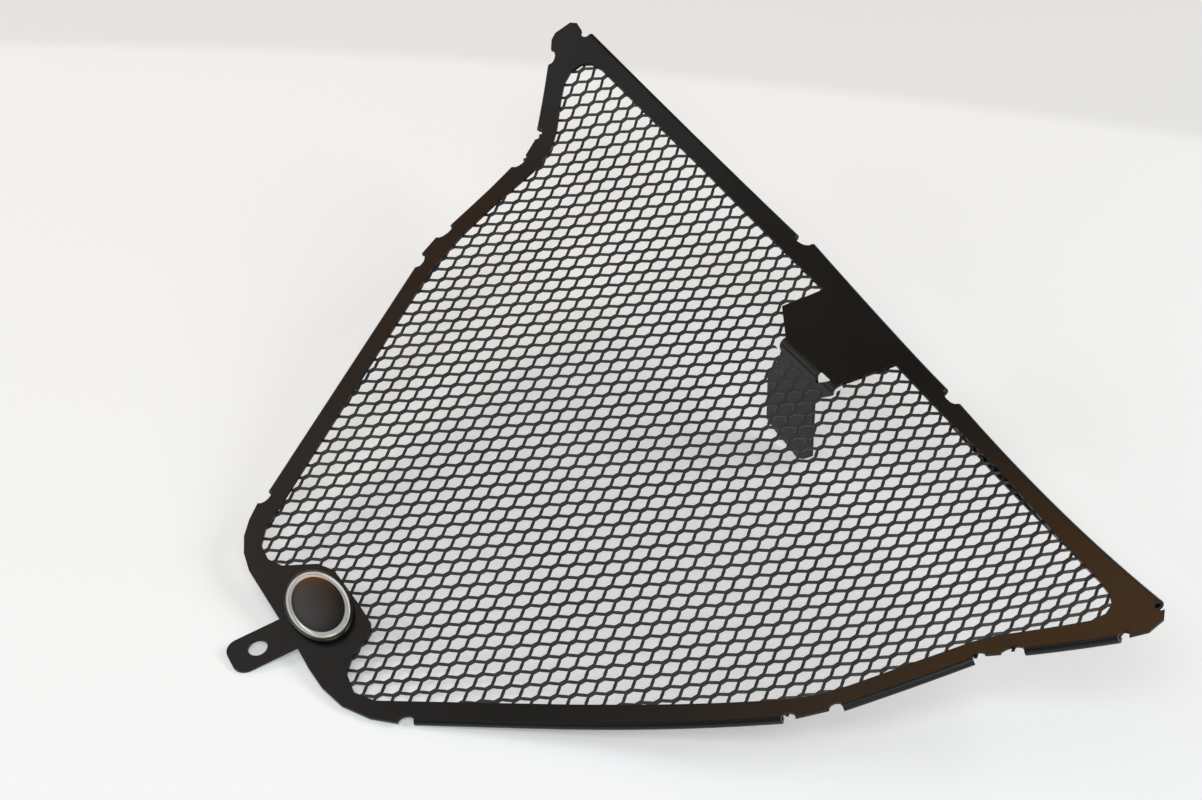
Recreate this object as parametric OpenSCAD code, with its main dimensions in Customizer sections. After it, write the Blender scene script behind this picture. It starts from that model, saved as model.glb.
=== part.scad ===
// Exhaust header guard: a folded and rolled sheet frame that clamps an expanded mesh.
// The frame is drawn as a flat pattern, x along the bottom edge and y up, seen from the front.
// bent() rolls a flat point into place, and at_rest() lays the guard on its back on a table.

/* [Overall size] */
// Width of the flat pattern, from the left corner to the right tip
guard_w = 304; // [290:1:318]
// Height of the flat pattern, from the bottom edge to the top lobe
guard_h = 312; // [298:1:326]

/* [Sheet] */
// Thickness of the frame sheet
sheet_t = 1.1; // [0.8:0.1:1.6]
// Thickness of the mesh
mesh_t = 0.9; // [0.6:0.1:1.4]
// Play between the mesh and each layer of the frame
mesh_play = 0.05; // [0.02:0.01:0.1]
// Width of the returns that fold behind the mesh at the bottom and the right, from the outside of the fold
hem_return = 7; // [5:0.5:7.5]
// Width of the returns at the top and the left, narrower so that the guard's weight stays over its feet
light_return = 4.5; // [4:0.5:6]
// Length over which a hem's return tapers at each end
hem_taper = 4; // [2:0.5:5]
// Radius of the bite that relieves each end of a hem
relief_r = 1.9; // [1.4:0.1:2.4]

/* [Rolled bends] */
// Direction across the top bend, from the x axis
top_dir_a = 64.2; // [60:0.1:68]
// Distance from the bottom left corner at which the top bend starts
top_start = 199.2; // [196:0.1:210]
// Radius of the top bend, on the front face
top_r = 207.5; // [180:0.5:260]
// Direction across the side bend, from the x axis
side_dir_a = -34.9; // [-38:0.1:-32]
// Distance from the bottom left corner at which the side bend starts
side_start = 30.3; // [30:0.1:40]
// Radius of the side bend, on the front face
side_r = 335; // [280:1:400]

/* [Mounting tab] */
// Distance from the corner plate's edge to the centre of the hole
tab_reach = 14.4; // [11:0.1:18]
// Width of the tab
tab_w = 13.8; // [12:0.2:18]
// Metal beyond the centre of the hole
tab_end = 9.7; // [7:0.1:12]
// Radius of the tab's end corners
tab_corner_r = 4.5; // [2:0.5:6]
// Diameter of the bolt hole
hole_d = 6.5; // [5:0.1:8]
// Direction in which the tab points, from the x axis
tab_a = 214.7; // [205:0.1:225]

/* [Leg] */
// Width of the leg's bend
leg_bend_w = 30; // [29:0.5:31]
// Length of the leg beyond its bend
leg_len = 39.4; // [34:0.1:45]
// Angle that the leg turns behind the plate
leg_a = 77; // [65:1:85]
// Inside radius of the leg's bend
leg_bend_r = 1.5; // [1:0.1:2.5]
// Width of the slot through which the leg passes the mesh
leg_slot = 4.5; // [4.5:0.5:9]

/* [Mesh] */
// Pitch of the openings along their long way
mesh_long = 38; // [37:1:42]
// Pitch of the openings across their short way
mesh_short = 23; // [22.5:0.5:26]
// Width of a strand
strand_w = 1.8; // [1.2:0.1:3]
// Length of the bond between two openings
bond_l = 9.5; // [8:0.5:12]
// Direction of the long way, from the x axis
mesh_a = 37.9; // [30:0.1:45]

/* [Badge] */
// Long axis of the badge
badge_l = 32; // [26:0.5:33]
// Short axis of the badge
badge_w = 20.8; // [17:0.1:23]
// Direction of the long axis, from the x axis
badge_a = -55; // [-65:1:-50]
// Thickness of the badge's tray
badge_t = 0.8; // [0.5:0.1:1.2]
// Height of the badge's rim
rim_h = 1.8; // [1.4:0.1:2.6]
// Width of the badge's rim
rim_w = 1.7; // [1.2:0.1:2.4]
// Height of the dome above the tray
dome_h = 1.7; // [1.2:0.1:2.4]
// Clearance round the dome inside the rim
dome_play = 0.05; // [0.03:0.01:0.1]

/* [Hidden] */
$fn = 64;

fold_t = 2 * sheet_t + mesh_t + 2 * mesh_play;
fold_r = fold_t / 2;
// the front layer and the fold's round lap by this much on each side
fold_lap = 0.5;
front_inset = fold_r - fold_lap;
hem_step = 9;
seam_lap = 2;
// the fold's round is drawn in this many steps, through this angle
fold_steps = 6;
fold_turn = 172;
above = 90;
below = 20;
far = 400;

// size of the flat pattern as its points are written below
drawn_w = 304;
drawn_h = 312;
function sized(p) = [p[0] * guard_w / drawn_w, p[1] * guard_h / drawn_h];

// Ends of each hemmed edge, at the outside of its fold, anticlockwise from the bottom left
hem_ends = [
    [[0, -0.7], [115.5, -0.7]],
    [[134.4, 2.3], [173.2, 15.3]],
    [[188.6, 15.7], [217.4, 12.9]],
    [[230, 26.6], [159.4, 131.6]],
    [[154.6, 138.7], [104, 204.9]],
    [[97.8, 209.3], [12.4, 305.3]],
    [[-4.6, 293.8], [-5.5, 265.4]],
    [[-12.8, 247.5], [-30.3, 218.6]],
    [[-39.5, 196.9], [-69.3, 92.3]]
];
hems = [for (edge = hem_ends) [sized(edge[0]), sized(edge[1])]];
first_light = 5; // the hems from here on, along the top and the left, have the narrower return

// Outline of each corner piece, between the reliefs that follow one hem and lead to the next
corner_points = [
    [[120.1, -0.3], [130.3, 1.7]],
    [[176.8, 16.8], [181.6, 16.2]],
    [[221.3, 12.4], [227.3, 12.4], [231.5, 16.6], [231.4, 20.8]],
    [],
    [],
    [[8.4, 306.6], [6.2, 310.2], [3.4, 310.8], [-2.4, 307.2], [-3.6, 304.4], [-3.5, 300.4]],
    [[-5, 259.6], [-7.6, 252.4]],
    [[-34, 211.4], [-37.7, 203.3]],
    [[-71.4, 86.2], [-72.6, 79.1], [-72.7, 72], [-71, 64.8], [-67.6, 57.8], [-62.4, 51],
     [-44, 27], [-38.5, 19.1], [-32.3, 11.5], [-24.4, 4.8], [-14.3, 0.4], [-4.8, -1.1]]
];
corners = [for (c = corner_points) [for (p = c) sized(p)]];

// Inside edge of the frame, anticlockwise from the bottom left
window_points = [
    [-14, 6.8], [60, 7.4], [117, 7.2], [126, 8], [135, 10.6], [154, 17.4], [172, 23.2],
    [180, 24.4], [209, 23.4], [213, 25.2], [214.6, 29], [213.6, 34], [210.2, 40.8],
    [174.4, 99.2], [136.6, 149.4], [121.8, 141.8], [118.8, 141.2], [116, 142.4],
    [98.2, 162.2], [95.4, 176.4], [108.8, 183.8], [59.3, 241.8], [17.4, 289],
    [13.4, 291.8], [9.4, 292.2], [5.4, 289.6], [3.4, 285], [2.8, 278], [2.8, 264],
    [1.8, 255], [-1.6, 247.4], [-14.4, 230], [-24, 213.6], [-33, 194.6],
    [-66, 75.6], [-65.8, 68.4], [-62, 62.4], [-56.6, 59.8], [-44.6, 60.8], [-38.4, 58.2],
    [-27, 44.4], [-21.6, 37.2], [-20.6, 33], [-24.8, 24], [-25.2, 17], [-21.2, 9.8]
];
window = [for (p = window_points) sized(p)];

// Rim of the mesh where it ends behind the corner plate
mesh_corner_points = [
    [-64.6, 84], [-69, 70], [-64, 58], [-54, 54.6], [-44, 54.6], [-32, 40],
    [-27, 32], [-31, 22], [-30, 14], [-20, 6], [-8, 2.5]
];
mesh_corner = [for (p = mesh_corner_points) sized(p)];

tab_root = sized([-45.1, 34.5]);
// the tab's plan runs this far into the corner plate
tab_lap = 6;
leg_root = sized([98.2, 162.2]);
leg_corner = sized([116, 142.4]);
leg_dir = unit(leg_corner - leg_root);
// the bend starts this far inside the plate's edge
leg_flat = 0.5;
leg_lap = 1.5;
leg_steps = 9;
leg_in = [leg_dir[1], -leg_dir[0]];
badge_at = sized([-40, 42.7]);

// Outline of the leg across its bend and along it; the part below 0 covers the bend itself
leg_back = -2 * (leg_bend_r + sheet_t);
// the bend begins this far from the corner of the plate's edge
leg_side = 0.4;
leg_tip = [15.2, leg_len];
leg_outline = [
    [leg_side, leg_back], [leg_side, 0.6], [1.8, 2.5], [-0.4, 7.8], [-4.8, 15.3], [-4.6, 19], [-3.4, leg_len - 4.2],
    [2.4, leg_len - 2.4], [9.2, leg_len - 1.4], leg_tip, [18.6, leg_len - 2],
    [22.4, leg_len - 5.8], [21.9, 26], [20.9, 9], [leg_bend_w, 1], [leg_bend_w, leg_back]
];
// gap between the leg and the arm that braces it to the plate's corner
leg_relief = [[20.4, -3.4], [28, -3.4], [21.4, 1.6]];

function unit(v) = v / norm(v);
function dir(a) = [cos(a), sin(a)];
function left_of(v) = [-v[1], v[0]];
function joined(lists) = [for (l = lists) for (p = l) p];

// Distance run, rise and turn of a point s past the start of a bend
function roll(s, r) =
    let (t = s / r * 180 / PI) s <= 0 ? [s, 0, 0] : [r * sin(t), r * (1 - cos(t)), t];

function past_top(p) = p * dir(top_dir_a) - top_start;
function past_side(p) = p * dir(side_dir_a) - side_start;

// Place of a flat point p at depth d behind the front face
function bent(p, d = 0) =
    let (
        on_top = past_top(p) > 0,
        on_side = !on_top && past_side(p) > 0,
        across = on_top ? dir(top_dir_a) : dir(side_dir_a),
        s = on_top ? past_top(p) : past_side(p),
        b = on_top ? roll(s, top_r) : on_side ? roll(s, side_r) : [s, 0, 0],
        q = p + across * (b[0] - s + d * sin(b[2]))
    )
    [q[0], q[1], b[1] - d * cos(b[2])];

function plan(p) = let (q = bent(p)) [q[0], q[1]];
function is_flat(p) = past_top(p) <= 0 && past_side(p) <= 0;

// A straight line as points close enough together to follow the bends
function stations(a, b, step) =
    let (n = is_flat(a) && is_flat(b) ? 1 : max(1, ceil(norm(b - a) / step)))
    [for (i = [0:n]) a + (b - a) * i / n];

// The outline of a flat path in plan, with its straight lines following the bends
function plan_path(path) =
    let (n = len(path))
    [for (i = [0:n - 1])
        let (line = stations(path[i], path[(i + 1) % n], hem_step))
        for (j = [0:len(line) - 2]) plan(line[j])];

// A line moved inwards, which is to its left
function inward(edge, d) =
    let (n = left_of(unit(edge[1] - edge[0]))) [edge[0] + n * d, edge[1] + n * d];

// Round bite between p and q, cut inwards
function bite(p, q) =
    let (m = (p + q) / 2, n = left_of(unit(q - p)))
    [p, for (t = [30:30:150]) m - (q - p) / 2 * cos(t) + n * relief_r * sin(t), q];

// Outline of the frame's front layer
front_path = joined([for (i = [0:len(hems) - 1])
    let (
        edge = inward(hems[i], front_inset),
        next = inward(hems[(i + 1) % len(hems)], front_inset),
        c = corners[i],
        last = len(c) - 1
    )
    len(c) == 0
        ? concat([edge[0]], bite(edge[1], next[0]))
        : concat([edge[0]], bite(edge[1], c[0]), [for (j = [1:1:last - 1]) c[j]],
                 bite(c[last], next[0]))]);

// Outline of the mesh, clamped in the hems
mesh_edge = 0.7;
mesh_inset = fold_r + mesh_edge;
mesh_path = concat(
    joined([for (i = [0:len(hems) - 1]) inward(hems[i], mesh_inset)]),
    mesh_corner
);

// Plane that the guard rests on, through the leg's tip, the tab's end and the bottom hem
leg_turn = (leg_bend_r + sheet_t) * [sin(leg_a), cos(leg_a) - 1];
// Place of a point v of the leg's outline, on its outer face
function on_leg(v) =
    let (p = leg_root + leg_dir * v[0] + leg_in * (leg_flat + leg_turn[0] + v[1] * cos(leg_a)))
    [p[0], p[1], leg_turn[1] - v[1] * sin(leg_a)];
tab_corner = tab_root + dir(tab_a) * (tab_reach + tab_end - tab_corner_r)
    + left_of(dir(tab_a)) * (tab_w / 2 - tab_corner_r) + dir(tab_a + 45) * tab_corner_r;
foot_leg = on_leg(leg_tip);
foot_tab = [tab_corner[0], tab_corner[1], -sheet_t];
hem_start = inward(hems[0], fold_r)[0];
foot_hem = [hem_start[0], hem_start[1], -fold_t];
rest_up = unit(cross(foot_leg - foot_hem, foot_tab - foot_hem));
rest_axis = cross(rest_up, [0, 0, 1]);
rest_tilt = acos(rest_up[2]);

// Turn about the unit axis u by angle a
function turned(v, u, a) = v * cos(a) + cross(u, v) * sin(a) + u * (u * v) * (1 - cos(a));
function resting(v) = turned(v, unit(rest_axis), rest_tilt);

// points on the outline, by which the guard is centred on the origin
rim_points = concat(
    [for (p = front_path) resting(bent(p, 0))],
    [for (edge = hems, p = stations(edge[0], edge[1], hem_step)) resting(bent(p, fold_r))]
);
rim_x = [for (p = rim_points) p[0]];
rim_y = [for (p = rim_points) p[1]];
feet = concat(
    [foot_tab, foot_hem],
    [for (v = leg_outline) on_leg(v)],
    [for (edge = hems)
        let (line = inward(edge, fold_r))
        for (p = stations(line[0], line[1], hem_step)) bent(p, fold_t)]
);
origin = [
    (min(rim_x) + max(rim_x)) / 2,
    (min(rim_y) + max(rim_y)) / 2,
    min([for (p = feet) resting(p)[2]])
];

module at_rest() translate(-origin) rotate(rest_tilt, rest_axis) children();

// Section of the sheet across a bend, between two depths, with the flat before it
module bend_section(r, d0, d1, flat) {
    translate([-flat, -d1]) square([flat, d1 - d0]);
    intersection() {
        translate([0, r]) difference() {
            circle(r + d1, $fn = 256);
            circle(r + d0, $fn = 256);
        }
        translate([0, -below]) square([r, r / 2 + below]);
    }
}

// The rolled section, drawn out along its bend
module rolled(across_a, start, r, d0, d1, flat)
    rotate(across_a) translate([start, far, 0]) rotate([90, 0, 0])
        linear_extrude(2 * far) bend_section(r, d0, d1, flat);

// The part of the plan on one side of the line where the side bend starts, with a lap on the flat
module side_part(beyond)
    rotate(side_dir_a) translate([beyond ? side_start - seam_lap : side_start - far, -far])
        square([far, 2 * far]);

// A layer of the rolled sheet between two depths, cut to the plan shape in children()
module layer(d0, d1) {
    intersection() {
        rolled(top_dir_a, top_start, top_r, d0, d1, far);
        translate([0, 0, -below]) linear_extrude(above + below) intersection() {
            children();
            side_part(false);
        }
    }
    intersection() {
        rolled(side_dir_a, side_start, side_r, d0, d1, 2 * seam_lap);
        translate([0, 0, -below]) linear_extrude(above + below) intersection() {
            children();
            side_part(true);
        }
    }
}

// Section of a hem: pairs of [inset, depth] on its outside and its inside
function hem_section(width) = concat(
    [[[width, fold_t], [width, fold_t - sheet_t]]],
    [for (i = [0:fold_steps])
        let (t = 90 + i * fold_turn / fold_steps, c = [fold_r, fold_r])
        [c + fold_r * dir(t), c + (fold_r - sheet_t) * dir(t)]],
    [[[fold_r + fold_lap, 0.3 * sheet_t], [fold_r + fold_lap, 0.7 * sheet_t]]]
);

module hem(edge, width) {
    along = unit(edge[1] - edge[0]);
    inner = left_of(along);
    length = norm(edge[1] - edge[0]);
    middle = stations(edge[0] + along * hem_taper, edge[1] - along * hem_taper, hem_step);
    line = concat([edge[0]], middle, [edge[1]]);
    last = len(line) - 1;
    sections = [for (i = [0:last])
        hem_section(i == 0 || i == last ? max(fold_r + 0.4, width - hem_taper) : width)];
    m = len(sections[0]);
    // the outside of every station, then its inside
    points = [for (i = [0:last], face = [0, 1], j = [0:m - 1])
        let (s = sections[i][j][face]) bent(line[i] + inner * s[0], s[1])];
    function at(i, face, j) = i * 2 * m + face * m + j;
    skin = [for (i = [0:last - 1], face = [0, 1], j = [0:m - 2])
        let (a = at(i, face, j), b = at(i + 1, face, j), c = at(i + 1, face, j + 1), d = at(i, face, j + 1))
        each face == 1 ? [[a, b, c], [a, c, d]] : [[a, c, b], [a, d, c]]];
    rims = [for (i = [0:last - 1], j = [0, m - 1])
        let (a = at(i, 0, j), b = at(i + 1, 0, j), c = at(i + 1, 1, j), d = at(i, 1, j))
        each j > 0 ? [[a, c, b], [a, d, c]] : [[a, b, c], [a, c, d]]];
    ends = [for (i = [0, last], j = [0:m - 2])
        let (a = at(i, 0, j), b = at(i, 0, j + 1), c = at(i, 1, j + 1), d = at(i, 1, j))
        each i > 0 ? [[a, b, c], [a, c, d]] : [[a, c, b], [a, d, c]]];
    polyhedron(points, concat(skin, rims, ends), convexity = 6);
}

module tab_plan() translate(tab_root) rotate(tab_a) {
    translate([-tab_lap, -tab_w / 2]) square([tab_reach + tab_end + tab_lap - tab_corner_r, tab_w]);
    for (s = [-1, 1])
        translate([tab_reach + tab_end - tab_corner_r, s * (tab_w / 2 - tab_corner_r)])
            circle(tab_corner_r);
    translate([tab_reach, 0]) square([2 * (tab_end - 0.01), tab_w - 2 * tab_corner_r], center = true);
}

module tab_hole() translate(tab_root) rotate(tab_a) translate([tab_reach, 0, -sheet_t - 1])
    cylinder(d = hole_d, h = sheet_t + 2);

// Side profile of the leg: the plate's edge, the bend and the straight
leg_profile = let (
    c = [leg_flat, -sheet_t - leg_bend_r],
    down = [cos(leg_a), -sin(leg_a)],
    out = [sin(leg_a), cos(leg_a)],
    turns = [for (i = [0:leg_steps]) 90 - leg_a * i / leg_steps]
) concat(
    [[-leg_lap, -sheet_t], [-leg_lap, 0]],
    [for (t = turns) c + (leg_bend_r + sheet_t) * dir(t)],
    [c + (leg_bend_r + sheet_t) * out + leg_len * down, c + leg_bend_r * out + leg_len * down],
    [for (i = [0:leg_steps]) c + leg_bend_r * dir(turns[leg_steps - i])]
);

module leg() translate([leg_root[0], leg_root[1], 0])
    rotate(atan2(leg_dir[1], leg_dir[0])) mirror([0, 1, 0])
        difference() {
            intersection() {
                translate([-leg_bend_w, 0, 0]) rotate([90, 0, 90])
                    linear_extrude(3 * leg_bend_w) polygon(leg_profile);
                leg_plane() translate([0, 0, leg_back]) linear_extrude(2 * sheet_t - leg_back)
                    polygon(leg_outline);
            }
            leg_plane() translate([0, 0, -leg_bend_r]) linear_extrude(2 * sheet_t + leg_bend_r)
                polygon(leg_relief);
        }

// The plane of the leg's face, with its back on z = 0 and y along the leg
module leg_plane()
    translate([0, leg_flat, -sheet_t - leg_bend_r]) rotate([-leg_a, 0, 0])
        translate([0, 0, leg_bend_r]) children();

module frame() color("#1c1c1e") at_rest() {
    difference() {
        union() {
            layer(0, sheet_t) difference() {
                union() {
                    polygon(plan_path(front_path));
                    tab_plan();
                }
                polygon(plan_path(window));
            }
            for (i = [0:len(hems) - 1]) hem(hems[i], i < first_light ? hem_return : light_return);
            leg();
        }
        tab_hole();
    }
}

// An opening of the mesh about a flat point
function opening(c) =
    let (
        l = dir(mesh_a),
        s = left_of(l),
        xv = (mesh_long - bond_l) / 2 - strand_w * 0.7,
        xb = bond_l / 2 - strand_w * 0.2,
        h = (mesh_short - strand_w) / 2
    )
    [for (v = [[xv, 0], [xb, h], [-xb, h], [-xv, 0], [-xb, -h], [xb, -h]]) c + l * v[0] + s * v[1]];

function crosses(p, a, b) =
    (a[1] > p[1]) != (b[1] > p[1])
    && p[0] < (b[0] - a[0]) * (p[1] - a[1]) / (b[1] - a[1]) + a[0];
function inside(p, path) =
    len([for (i = [0:len(path) - 1]) if (crosses(p, path[i], path[(i + 1) % len(path)])) 1]) % 2 == 1;

mesh_start = [80, 90];
// an opening is kept if one of these points about its middle is inside the frame
probe = 0.22;
opening_probes = concat([[0, 0]],
    [for (t = [-probe, probe]) dir(mesh_a) * mesh_long * t],
    [for (t = [-probe, probe]) left_of(dir(mesh_a)) * mesh_short * t]);
opening_rows = 20;
openings = [for (i = [-opening_rows:opening_rows], j = [-opening_rows:opening_rows])
    if ((i + j) % 2 == 0)
        let (c = mesh_start + dir(mesh_a) * i * mesh_long / 2 + left_of(dir(mesh_a)) * j * mesh_short / 2)
        if (len([for (v = opening_probes) if (inside(c + v, window)) 1]) > 0) c];

// the slot for the leg runs past each end of its bend, and to the front of it
slot_end = 2;
slot_front = 1.5;

module mesh() color("#2a2a2c") at_rest()
    layer(sheet_t + mesh_play, sheet_t + mesh_play + mesh_t) difference() {
        polygon(plan_path(mesh_path));
        intersection() {
            polygon(plan_path(window));
            union() for (c = openings) polygon([for (p = opening(c)) plan(p)]);
        }
        translate(leg_root) rotate(atan2(leg_dir[1], leg_dir[0]))
            translate([-slot_end, -leg_slot])
                square([leg_bend_w + 2 * slot_end, leg_slot + slot_front]);
    }

function oval(l, w) = [for (t = [0:6:354]) [l / 2 * cos(t), w / 2 * sin(t)]];

module on_badge() at_rest() translate([badge_at[0], badge_at[1], 0]) rotate(badge_a) children();

module badge_rim() color("#b9bcc0") on_badge() difference() {
    linear_extrude(rim_h) polygon(oval(badge_l, badge_w));
    translate([0, 0, badge_t])
        linear_extrude(rim_h) polygon(oval(badge_l - 2 * rim_w, badge_w - 2 * rim_w));
}

// The dome's rings, from the tray up to its crown
dome_rings = [[0, 0], [0, 0.35], [4, 0.62], [12, 0.84], [26, 0.97]];
module badge_dome() color("#0c0c0e") on_badge() {
    l = badge_l - 2 * rim_w - 2 * dome_play;
    w = badge_w - 2 * rim_w - 2 * dome_play;
    rings = [for (k = dome_rings) [for (t = [0:6:354])
        [(l / 2 - l * k[0] / 100) * cos(t), (w / 2 - w * k[0] / 100) * sin(t), badge_t + dome_h * k[1]]]];
    n = len(rings[0]);
    top = len(rings) * n;
    points = concat(joined(rings), [[0, 0, badge_t + dome_h]]);
    sides = [for (k = [0:len(rings) - 2], i = [0:n - 1])
        let (j = (i + 1) % n, a = k * n + i, b = k * n + j, c = b + n, d = a + n)
        each [[a, c, b], [a, d, c]]];
    crown = [for (i = [0:n - 1]) [top, (len(rings) - 1) * n + (i + 1) % n, (len(rings) - 1) * n + i]];
    polyhedron(points, concat([[for (i = [0:n - 1]) i]], sides, crown), convexity = 4);
}

frame();
mesh();
badge_rim();
badge_dome();
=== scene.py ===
from math import cos, radians, sin

import bpy
from mathutils import Matrix, Vector


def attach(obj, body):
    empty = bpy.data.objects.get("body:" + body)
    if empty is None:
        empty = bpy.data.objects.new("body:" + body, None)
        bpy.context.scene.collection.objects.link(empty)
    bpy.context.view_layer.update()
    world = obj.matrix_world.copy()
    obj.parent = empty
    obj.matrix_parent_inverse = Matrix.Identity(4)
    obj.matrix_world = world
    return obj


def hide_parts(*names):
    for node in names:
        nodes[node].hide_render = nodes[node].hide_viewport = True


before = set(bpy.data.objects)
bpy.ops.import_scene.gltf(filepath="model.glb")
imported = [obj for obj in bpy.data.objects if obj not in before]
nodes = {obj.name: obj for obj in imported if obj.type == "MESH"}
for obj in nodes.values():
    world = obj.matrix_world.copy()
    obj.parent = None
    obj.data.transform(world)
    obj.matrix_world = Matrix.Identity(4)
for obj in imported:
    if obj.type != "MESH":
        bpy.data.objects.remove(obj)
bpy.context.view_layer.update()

bpy.ops.object.select_all(action="DESELECT")

MM = 0.001
NEAR = 0.001

# The flat pattern of the guard: x along the bottom edge, y up, z towards the front, in millimetres
SHEET_T = 1.1
MESH_T = 0.9
MESH_PLAY = 0.05
FOLD_R = (2 * SHEET_T + MESH_T + 2 * MESH_PLAY) / 2
MESH_EDGE = 0.7
MESH_INSET = FOLD_R + MESH_EDGE

# Rolled bends: direction across the bend in degrees, its start and its radius
TOP_BEND = (64.2, 199.2, 207.5)
SIDE_BEND = (-34.9, 30.3, 335.0)

# How the flat pattern lies on the table
REST_AXIS = Vector((0.195882, -0.0856305, 0.0))
REST_TILT = radians(12.344)
REST_ORIGIN = Vector((75.3495, 148.601, -2.94973))

# Ends of the hemmed edges, anticlockwise, and the mesh's rim behind the corner plate
HEMS = [
    ((0, -0.7), (115.5, -0.7)),
    ((134.4, 2.3), (173.2, 15.3)),
    ((188.6, 15.7), (217.4, 12.9)),
    ((230, 26.6), (159.4, 131.6)),
    ((154.6, 138.7), (104, 204.9)),
    ((97.8, 209.3), (12.4, 305.3)),
    ((-4.6, 293.8), (-5.5, 265.4)),
    ((-12.8, 247.5), (-30.3, 218.6)),
    ((-39.5, 196.9), (-69.3, 92.3)),
]
MESH_CORNER = [
    (-64.6, 84), (-69, 70), (-64, 58), (-54, 54.6), (-44, 54.6), (-32, 40),
    (-27, 32), (-31, 22), (-30, 14), (-20, 6), (-8, 2.5),
]

# The mesh's slot for the leg: its reach along the plate's edge, and to the front and back of it
LEG_ROOT = Vector((98.2, 162.2, 0))
LEG_CORNER = Vector((116, 142.4, 0))
LEG_SLOT = (-1.2, 31.0)
SLOT_FRONT, SLOT_BACK = 1.5, 4.5

# Expanded mesh: pitch along and across the openings, direction of their long way in degrees,
# the middle of one opening, and how many periods and rows lie on each side of it
LONG_PITCH = 10.01
SHORT_PITCH = 6.1
LONG_TURN = 37.9
OPENING_AT = (101.28, 114.84)
PERIODS = (-19, 9)
ROWS = (-29, 38)

# Its strands: width at a bond, thickness, tilt, and how much wider they get in two steps
STRAND_W = 0.68
STRAND_T = 0.42
STRAND_TILT = radians(18)
CROTCH_WIDER = 1.6
SLOPE_WIDER = 1.32
# length of a bond and of each eased step beside it, and the share of the slope's drop in each step
BOND_L = 2.0
CORNER_L = 0.4
CROTCH_DROP, CORNER_DROP, SLOPE_DROP = 0.08, 0.14, 0.56
# how far two strands run into each other at a bond
BOND_LAP = 0.04

# How far a cutting block reaches above and below the flat pattern
BLOCK_REACH = 10

# The badge: its middle, turn and oval size
BADGE_AT = Vector((-40.0, 42.7, 0))
BADGE_TURN = radians(-55)
BADGE_L = 32.0
BADGE_W = 20.8
BADGE_TRAY = 0.8
RIM_W = 1.7
DOME_PLAY = 0.05
OVAL_SIDES = 96
# height of the rim at each distance in from its outer edge
RIM_PROFILE = [
    (0, 0), (0, 1.45), (0.1, 1.63), (0.25, 1.74), (0.45, 1.8),
    (1.3, 1.8), (1.5, 1.74), (1.62, 1.6), (1.68, 1.4), (1.7, 0.8),
]
# height of the dome above the tray at each share of its half width
DOME_PROFILE = [
    (1, 0), (1, 0.5), (0.985, 0.68), (0.95, 0.86), (0.88, 1.08),
    (0.78, 1.3), (0.66, 1.46), (0.5, 1.6), (0.3, 1.68), (0.12, 1.7),
]

# Colours
RIM_SILVER = (0.8, 0.79, 0.74)
RIM_LINE = (0.006, 0.006, 0.006)
DOME_BLACK = (0.004, 0.004, 0.005)
BAND_SILVER = (0.7, 0.69, 0.64)
PAPER = (0.88, 0.88, 0.88)
PAPER_GLOW = (0.3, 0.3, 0.3)
BEYOND_PAPER = (0.79, 0.79, 0.79)
BEYOND_GLOW = (0.27, 0.27, 0.27)
NO_GLOW = (0, 0, 0)
COOL_LIGHT = (0.92, 0.98, 1.0)
LEFT_LIGHT = (0.94, 0.99, 1.0)
RIGHT_LIGHT = (0.95, 0.99, 1.0)
WARM_LIGHT = (1.0, 0.44, 0.07)
WORLD_LIGHT = (0.95, 0.97, 1.0)


# Modelling helpers

def to_table(piece):
    """Lays a piece made in the flat pattern's millimetres on the table, in metres."""
    lay = Matrix.Rotation(REST_TILT, 4, REST_AXIS)
    piece.data.transform(Matrix.Scale(MM, 4) @ Matrix.Translation(-REST_ORIGIN) @ lay)
    piece.data.update()


def rolled(point):
    """Where the two rolled bends carry a point of the flat pattern."""
    for turn, start, radius in (TOP_BEND, SIDE_BEND):
        across = Vector((cos(radians(turn)), sin(radians(turn)), 0))
        past = point.dot(across) - start
        if past > 0:
            arc = past / radius
            reach = (radius - point.z) * sin(arc)
            rise = radius - (radius - point.z) * cos(arc)
            flat = point - across * past
            return Vector((flat.x, flat.y, 0)) + across * reach + Vector((0, 0, rise))
    return point


def roll(piece):
    for vertex in piece.data.vertices:
        vertex.co = rolled(vertex.co)
    piece.data.update()


def named(piece, name):
    piece.name = name
    piece.data.name = name
    return piece


def pick(piece):
    """Selects one piece alone and makes it active."""
    bpy.ops.object.select_all(action="DESELECT")
    piece.select_set(True)
    bpy.context.view_layer.objects.active = piece


def apply_modifiers(piece):
    pick(piece)
    for modifier in list(piece.modifiers):
        bpy.ops.object.modifier_apply(modifier=modifier.name)


def edit(piece):
    pick(piece)
    bpy.ops.object.mode_set(mode="EDIT")
    bpy.ops.mesh.select_all(action="DESELECT")


def leave_edit():
    bpy.ops.object.mode_set(mode="OBJECT")


def select_faces(piece, chosen):
    bpy.ops.object.mode_set(mode="OBJECT")
    for face in piece.data.polygons:
        face.select = chosen(face)
    bpy.ops.object.mode_set(mode="EDIT")


def extrude(move):
    bpy.ops.mesh.extrude_region_move(TRANSFORM_OT_translate={"value": move})


def face_outwards():
    bpy.ops.mesh.select_all(action="SELECT")
    bpy.ops.mesh.normals_make_consistent(inside=False)


def x_ends(piece):
    places = [vertex.co.x for vertex in piece.data.vertices]
    return min(places), max(places)


def inward(edge, inset):
    """An edge of the outline, moved to its inner side."""
    a, b = Vector(edge[0]), Vector(edge[1])
    along = (b - a).normalized()
    left = Vector((-along.y, along.x))
    return [a + left * inset, b + left * inset]


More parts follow.
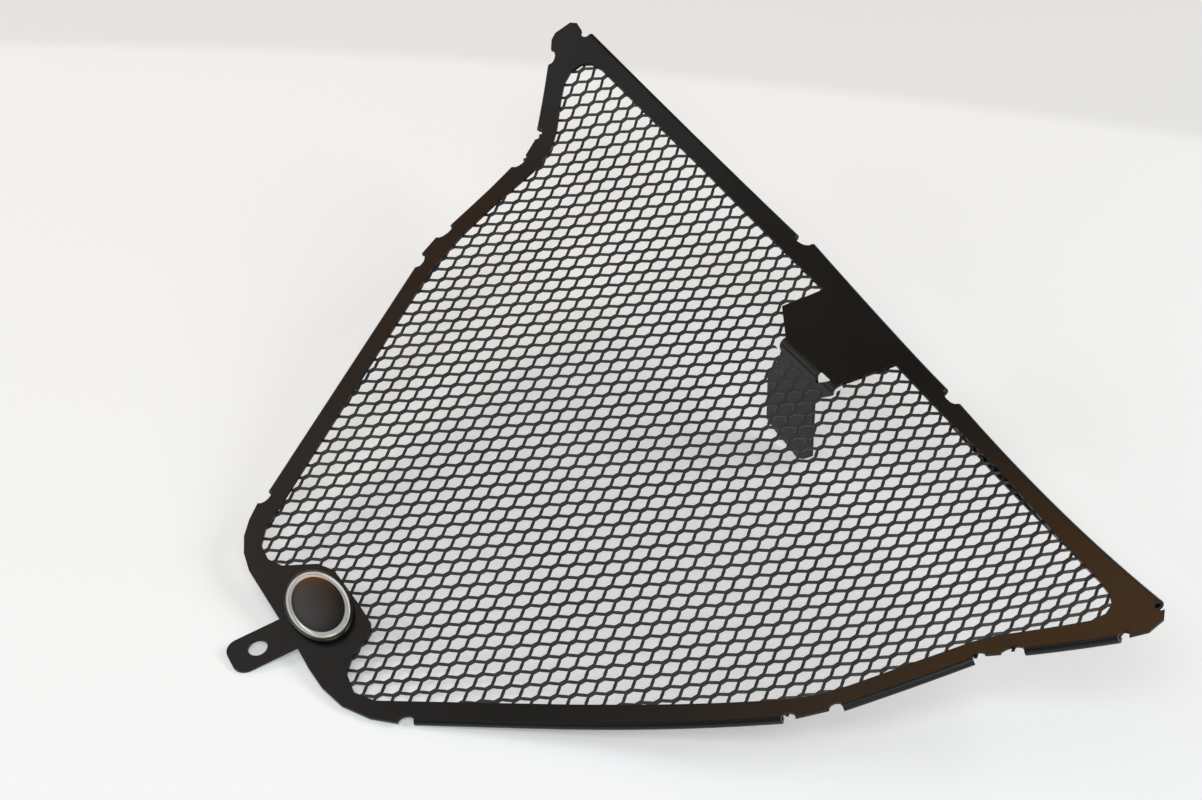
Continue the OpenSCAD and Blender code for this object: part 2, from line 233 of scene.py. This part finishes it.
def block_over(name, outline):
    """A closed block over a flat outline."""
    mesh = bpy.data.meshes.new(name)
    mesh.from_pydata([(p[0], p[1], -BLOCK_REACH) for p in outline], [], [list(range(len(outline)))])
    block = bpy.data.objects.new(name, mesh)
    bpy.context.collection.objects.link(block)
    edit(block)
    bpy.ops.mesh.select_all(action="SELECT")
    extrude((0, 0, 2 * BLOCK_REACH))
    face_outwards()
    leave_edit()
    return block


def carve(piece, tool, operation):
    cut = piece.modifiers.new("cut", "BOOLEAN")
    cut.operation = operation
    cut.object = tool
    cut.solver = "MANIFOLD"
    apply_modifiers(piece)
    bpy.data.objects.remove(tool)


def array(piece, count, offset, merge=False):
    copies = piece.modifiers.new("copies", "ARRAY")
    copies.count = count
    copies.use_relative_offset = False
    copies.use_constant_offset = True
    copies.constant_offset_displace = offset
    copies.use_merge_vertices = merge
    copies.merge_threshold = NEAR
    apply_modifiers(piece)


# The expanded mesh

def strand():
    """One period of a strand: a bond, a slanted run down, a bond, and a run back up."""
    wide = STRAND_W * cos(STRAND_TILT)
    high = STRAND_W * sin(STRAND_TILT)
    bpy.ops.mesh.primitive_cube_add(size=1, location=(0, SHORT_PITCH / 2 - wide / 2, -high / 2))
    piece = bpy.context.object
    piece.scale = (BOND_L, STRAND_W + BOND_LAP, STRAND_T)
    piece.rotation_euler = (STRAND_TILT, 0, 0)
    bpy.ops.object.transform_apply(location=True, rotation=True, scale=True)
    # the end face is drawn out down to the next bond and back, in five steps a slope; it gets
    # wider beside the bond, which blunts the opening's tip, and keeps that width on the slope
    slope = LONG_PITCH / 2 - BOND_L
    down = [
        (CORNER_L, CROTCH_DROP, CROTCH_WIDER),
        (CORNER_L, CORNER_DROP, SLOPE_WIDER),
        (slope - 4 * CORNER_L, SLOPE_DROP, 1),
        (CORNER_L, CORNER_DROP, 1 / SLOPE_WIDER),
        (CORNER_L, CROTCH_DROP, 1 / CROTCH_WIDER),
    ]
    run = [(step, -part, wider) for step, part, wider in down] + [(BOND_L, 0, 1)] + down
    for step, part, wider in run:
        end = x_ends(piece)[1]
        edit(piece)
        select_faces(piece, lambda face: face.center.x > end - NEAR)
        extrude((step, part * (SHORT_PITCH / 2 - wide), -part * high))
        bpy.ops.transform.resize(value=(1, wider, 1))
        leave_edit()
    # open ends, so that the copies join
    ends = x_ends(piece)
    edit(piece)
    select_faces(piece, lambda face: min(abs(face.center.x - end) for end in ends) < NEAR)
    bpy.ops.mesh.delete(type="FACE")
    leave_edit()
    return named(piece, "fine_mesh")


def close_end(piece, x):
    edit(piece)
    bpy.ops.mesh.select_mode(type="VERT")
    leave_edit()
    for vertex in piece.data.vertices:
        vertex.select = abs(vertex.co.x - x) < NEAR
    bpy.ops.object.mode_set(mode="EDIT")
    bpy.ops.mesh.edge_face_add()
    bpy.ops.mesh.select_mode(type="FACE")
    face_outwards()
    leave_edit()


def leg_slot():
    """Outline of the slot through which the leg passes."""
    along = (LEG_CORNER - LEG_ROOT).normalized()
    back = Vector((along.y, -along.x, 0))
    start, stop = LEG_SLOT
    corners = ((start, -SLOT_FRONT), (stop, -SLOT_FRONT), (stop, SLOT_BACK), (start, SLOT_BACK))
    return [LEG_ROOT + along * a + back * b for a, b in corners]


def fine_mesh():
    piece = strand()
    array(piece, PERIODS[1] - PERIODS[0], (LONG_PITCH, 0, 0), merge=True)
    for x in x_ends(piece):
        close_end(piece, x)
    array(piece, 2, (LONG_PITCH / 2, SHORT_PITCH / 2, 0))
    array(piece, ROWS[1] - ROWS[0], (0, SHORT_PITCH, 0))
    # the lattice is set on one opening and turned
    depth = SHEET_T + MESH_PLAY + MESH_T / 2
    turn = Matrix.Rotation(radians(LONG_TURN), 4, "Z")
    start = Matrix.Translation((LONG_PITCH * PERIODS[0], SHORT_PITCH * ROWS[0], 0))
    place = Matrix.Translation((*OPENING_AT, -depth))
    piece.data.transform(place @ turn @ start)
    outline = [p for edge in HEMS for p in inward(edge, MESH_INSET)] + MESH_CORNER
    carve(piece, block_over("mesh_outline", outline), "INTERSECT")
    carve(piece, block_over("leg_slot", leg_slot()), "DIFFERENCE")
    roll(piece)
    to_table(piece)
    return piece


# The badge

def badge_piece(name, base, rings):
    """An oval block drawn up ring by ring: half length, half width and height of each."""
    bpy.ops.mesh.primitive_circle_add(vertices=OVAL_SIDES, radius=1, fill_type="NGON")
    piece = named(bpy.context.object, name)
    length, width, height = rings[0]
    piece.scale = (length, width, 1)
    bpy.ops.object.transform_apply(scale=True)
    edit(piece)
    bpy.ops.mesh.select_all(action="SELECT")
    for ring in rings[1:]:
        extrude((0, 0, ring[2] - height))
        bpy.ops.transform.resize(value=(ring[0] / length, ring[1] / width, 1))
        length, width, height = ring
    face_outwards()
    bpy.ops.mesh.faces_shade_smooth()
    leave_edit()
    turn = Matrix.Rotation(BADGE_TURN, 4, "Z")
    piece.data.transform(Matrix.Translation(BADGE_AT + Vector((0, 0, base))) @ turn)
    to_table(piece)
    return piece


def badge_rim():
    rings = [(BADGE_L / 2 - inset, BADGE_W / 2 - inset, height) for inset, height in RIM_PROFILE]
    return badge_piece("badge_rim_smooth", 0, rings)


def badge_dome():
    length, width = BADGE_L / 2 - RIM_W - DOME_PLAY, BADGE_W / 2 - RIM_W - DOME_PLAY
    rings = [(length * share, width * share, height) for share, height in DOME_PROFILE]
    return badge_piece("badge_dome_smooth", BADGE_TRAY, rings)


# Materials

def add_node(tree, kind, settings=None, sockets=None, output=0):
    """Adds a node: its settings first, then the value or the link of each socket."""
    node = tree.nodes.new(kind)
    for key, value in (settings or {}).items():
        setattr(node, key, value)
    for key, value in (sockets or {}).items():
        feed(tree, node, key, value)
    return Value(tree, node.outputs[output])


def feed(tree, node, socket, value):
    if isinstance(value, Value):
        tree.links.new(value.socket, node.inputs[socket])
    else:
        node.inputs[socket].default_value = value


class Value:
    """A shader socket; arithmetic on it adds Math nodes."""

    def __init__(self, tree, socket):
        self.tree, self.socket = tree, socket

    def _math(self, operation, *terms):
        return add_node(self.tree, "ShaderNodeMath", {"operation": operation}, dict(enumerate(terms)))

    def __add__(self, other):
        return self._math("ADD", self, other)

    __radd__ = __add__

    def __mul__(self, other):
        return self._math("MULTIPLY", self, other)

    __rmul__ = __mul__

    def __sub__(self, other):
        return self._math("SUBTRACT", self, other)

    def __rsub__(self, other):
        return self._math("SUBTRACT", other, self)

    def __pow__(self, other):
        return self._math("POWER", self, other)

    def step(self, low, high):
        """0 at low, 1 at high, smooth between."""
        limits = {"Value": self, "From Min": low, "From Max": high}
        return add_node(self.tree, "ShaderNodeMapRange", {"interpolation_type": "SMOOTHSTEP"}, limits, "Result")

    def part(self, name):
        """Another output of the same node."""
        return Value(self.tree, self.socket.node.outputs[name])


class Finish:
    """A material with its Principled surface."""

    def __init__(self, name, color, roughness, metallic=0.0, coat=0.0, coat_rough=0.05, shine=0.5):
        self.material = bpy.data.materials.new(name)
        self.material.use_nodes = True
        self.tree = self.material.node_tree
        self.surface = self.tree.nodes["Principled BSDF"]
        self.set("Base Color", (*color, 1))
        self.set("Roughness", roughness)
        self.set("Metallic", metallic)
        self.set("Coat Weight", coat)
        self.set("Coat Roughness", coat_rough)
        self.set("Specular IOR Level", shine)

    def set(self, socket, value):
        feed(self.tree, self.surface, socket, value)

    def node(self, kind, settings=None, sockets=None, output=0):
        return add_node(self.tree, kind, settings, sockets, output)

    def place(self):
        return self.node("ShaderNodeTexCoord", output="Object")

    def along(self, axis):
        """Distance of the surface's point along an axis."""
        terms = {0: self.place(), 1: axis}
        return self.node("ShaderNodeVectorMath", {"operation": "DOT_PRODUCT"}, terms, "Value")

    def noise(self, scale, detail):
        return self.node("ShaderNodeTexNoise", None, {"Vector": self.place(), "Scale": scale, "Detail": detail})

    def mix(self, factor, first, second):
        """A colour between two colours; the sockets go by number, since their names repeat."""
        terms = {0: factor}
        for place, color in ((6, first), (7, second)):
            terms[place] = color if isinstance(color, Value) else (*color, 1)
        return self.node("ShaderNodeMix", {"data_type": "RGBA"}, terms, 2)

    def skin(self, edge_radius, grain, depth):
        """Softened edges under a fine grain."""
        soft = self.node("ShaderNodeBevel", {"samples": 4}, {"Radius": edge_radius})
        terms = {"Strength": 1.0, "Distance": depth, "Height": self.noise(grain, 2), "Normal": soft}
        self.set("Normal", self.node("ShaderNodeBump", None, terms))


def satin_coat(name, grey, roughness, edge_radius, shine):
    """Satin black powder coat: faint mottling, an orange-peel skin and softened edges."""
    finish = Finish(name, (grey, grey, grey), roughness, shine=shine)
    dark = (grey * 0.85, grey * 0.85, grey * 0.86)
    light = (grey * 1.2, grey * 1.18, grey * 1.14)
    finish.set("Base Color", finish.mix(finish.noise(35, 3).step(0.3, 0.7), dark, light))
    finish.set("Roughness", roughness - 0.04 + finish.noise(180, 4) * 0.08)
    finish.skin(edge_radius, 1400, 0.00002)
    return finish.material


def badge_radius(finish):
    """0 at the badge's centre and 1 at its outer edge, along its oval."""
    lay = Matrix.Rotation(REST_TILT, 3, REST_AXIS)
    centre = (lay @ BADGE_AT - REST_ORIGIN) * MM
    total = 0.0
    for turn, size in ((BADGE_TURN, BADGE_L), (BADGE_TURN + radians(90), BADGE_W)):
        axis = lay @ Vector((cos(turn), sin(turn), 0)) / (size * MM / 2)
        share = finish.along(axis) - centre.dot(axis)
        total = share * share + total
    return total ** 0.5


def badge_rim_coat():
    """Bright satin metal with a thin black outer line."""
    finish = Finish("badge_rim_metal", RIM_SILVER, 0.3, metallic=0.2, coat=0.6)
    outer = badge_radius(finish).step(0.915, 0.93)
    finish.set("Base Color", finish.mix(outer, RIM_SILVER, RIM_LINE))
    finish.set("Metallic", 0.2 - outer * 0.2)
    finish.set("Roughness", 0.26 + finish.noise(300, 3) * 0.1)
    finish.skin(0.0004, 900, 0.00001)
    return finish.material


def badge_dome_coat():
    """Soft clear coat over a black face with a silver band at its edge."""
    finish = Finish("badge_dome_black", DOME_BLACK, 0.36, coat=0.5, coat_rough=0.3)
    band = badge_radius(finish).step(0.772, 0.782)
    finish.set("Base Color", finish.mix(band, DOME_BLACK, BAND_SILVER))
    finish.set("Metallic", band * 0.3)
    finish.set("Roughness", 0.36 - band * 0.1 + finish.noise(120, 2) * 0.04)
    return finish.material


def dress(piece, material):
    piece.data.materials.clear()
    piece.data.materials.append(material)


dress(nodes["frame"], satin_coat("frame_coat", 0.009, 0.33, 0.0003, 0.28))
mesh = fine_mesh()
# the mesh's coat is greyer than the frame's: partly its own tone, partly a painted highlight for the light its
# thin strands catch
dress(mesh, satin_coat("mesh_coat_and_painted_sheen", 0.04, 0.33, 0.0001, 0.6))
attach(mesh, "root")
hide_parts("mesh")
badge = (
    (badge_rim(), "badge_rim", badge_rim_coat()),
    (badge_dome(), "badge_dome", badge_dome_coat()),
)
for piece, node, coat in badge:
    dress(piece, coat)
    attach(piece, "root")
    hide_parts(node)


# The floor, the light and the camera

def floor():
    bpy.ops.mesh.primitive_plane_add(size=12, location=(0, 0, 0))
    piece = named(bpy.context.object, "floor")
    finish = Finish("paper", PAPER, 0.85)
    across = finish.node("ShaderNodeSeparateXYZ", None, {"Vector": finish.place()}, "X")
    back = across.part("Y")
    # the paper ends in a bowed edge behind the guard
    edge = back + (across + 0.2) * (across + 0.2) * 0.26
    beyond = edge.step(0.248, 0.262)
    finish.set("Base Color", finish.mix(beyond, PAPER, BEYOND_PAPER))
    # the paper looks paler than the lamps make it, which keeps the shadows soft; the glow is only
    # seen, directly or in gloss, and lights nothing; it is weaker below the front lamp
    camera_ray = finish.node("ShaderNodeLightPath", output="Is Camera Ray")
    seen = camera_ray + camera_ray.part("Is Glossy Ray") + camera_ray.part("Is Transmission Ray")
    near = back.step(-1.1, -0.3) * 0.5 + 0.5
    finish.set("Emission Color", finish.mix(seen * near, NO_GLOW, finish.mix(beyond, PAPER_GLOW, BEYOND_GLOW)))
    finish.set("Emission Strength", 1.0)
    dress(piece, finish.material)


def area_light(name, place, aim, size, power, color=(1, 1, 1)):
    lamp = bpy.data.lights.new(name, "AREA")
    lamp.shape = "ELLIPSE"
    lamp.size, lamp.size_y = size
    lamp.energy = power
    lamp.color = color
    light = bpy.data.objects.new(name, lamp)
    light.location = place
    light.rotation_euler = (Vector(aim) - Vector(place)).to_track_quat("-Z", "Y").to_euler()
    bpy.context.collection.objects.link(light)


floor()
area_light("front_softbox", (0.15, -1.35, 1.6), (0, 0, 0), (1.7, 0.9), 16.6, COOL_LIGHT)
area_light("left_softbox", (-1.7, -0.5, 0.9), (0, 0, 0), (1.1, 0.9), 8.4, LEFT_LIGHT)
area_light("right_softbox", (1.7, 0.1, 1.2), (0, 0, 0), (1.1, 1.1), 14, RIGHT_LIGHT)
area_light("dim_wall", (-1.05, 0.45, 1.35), (-0.1, 0, 0), (0.8, 0.8), 1.8)
area_light("warm_wall", (-0.8, 1.2, 0.75), (0.1, 0, 0.03), (0.9, 1.3), 3.6, WARM_LIGHT)

world = bpy.data.worlds.new("studio")
world.use_nodes = True
world.node_tree.nodes["Background"].inputs["Color"].default_value = (*WORLD_LIGHT, 1)
world.node_tree.nodes["Background"].inputs["Strength"].default_value = 0.1
bpy.context.scene.world = world

lens = bpy.data.cameras.new("camera")
lens.lens = 85.9
lens.sensor_width = 36
lens.clip_start = 0.01
camera = bpy.data.objects.new("camera", lens)
camera.location = (0.119956, -0.773663, 0.607942)
camera.rotation_euler = (radians(53.2257), radians(2.6051), radians(9.8540))
bpy.context.collection.objects.link(camera)
bpy.context.scene.camera = camera
bpy.context.scene.view_settings.view_transform = "Standard"
